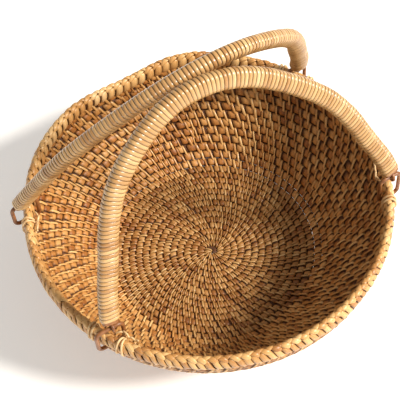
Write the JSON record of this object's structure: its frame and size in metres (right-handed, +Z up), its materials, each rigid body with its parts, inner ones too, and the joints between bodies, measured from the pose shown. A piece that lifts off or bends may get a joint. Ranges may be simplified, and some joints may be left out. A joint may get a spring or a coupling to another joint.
{
  "type": "woven wicker basket",
  "caption": "Round open basket of coiled rattan with a flared wall, a plaited border and two wrapped cane handles that swing on rings at the rim.",
  "frame": {"origin": "centre of the flat bottom on the surface it stands on", "axes": "+Z up; +X along the hinge lines of the two handles, from their left feet to their right feet; +Y towards the far handle"},
  "size_m": [0.32, 0.3165, 0.2658],
  "materials": {
    "weave": "satin, split rattan peel in honey and orange tan",
    "border": "satin, plaited rattan peel",
    "handle_peel": "semi-gloss, pale honey rattan peel",
    "brown_cane": "satin, brown round cane",
    "pale_cord": "matt, pale split cane used as cord"
  },
  "bodies": {
    "basket": {"coiled_floor": "weave", "coiled_wall": "weave", "plaited_border": "border", "near_left_ring": "brown_cane", "near_right_ring": "brown_cane", "far_left_ring": "brown_cane", "far_right_ring": "brown_cane", "near_left_ties": "pale_cord", "near_right_ties": "pale_cord", "far_left_ties": "pale_cord", "far_right_ties": "pale_cord"},
    "near_handle": {"near_handle_core": "brown_cane", "near_handle_wrap": "handle_peel", "near_left_eye": "brown_cane", "near_right_eye": "brown_cane"},
    "far_handle": {"far_handle_core": "brown_cane", "far_handle_wrap": "handle_peel", "far_left_eye": "brown_cane", "far_right_eye": "brown_cane"}
  },
  "joints": [
    {"name": "near_handle_swing", "type": "hinge", "parent": "basket", "child": "near_handle", "pos_m": [0, -0.0725, 0.106], "axis": [1, 0, 0], "range_deg": [0, 86]},
    {"name": "far_handle_swing", "type": "hinge", "parent": "basket", "child": "far_handle", "pos_m": [0, 0.0725, 0.106], "axis": [-1, 0, 0], "range_deg": [0, 86]}
  ]
}
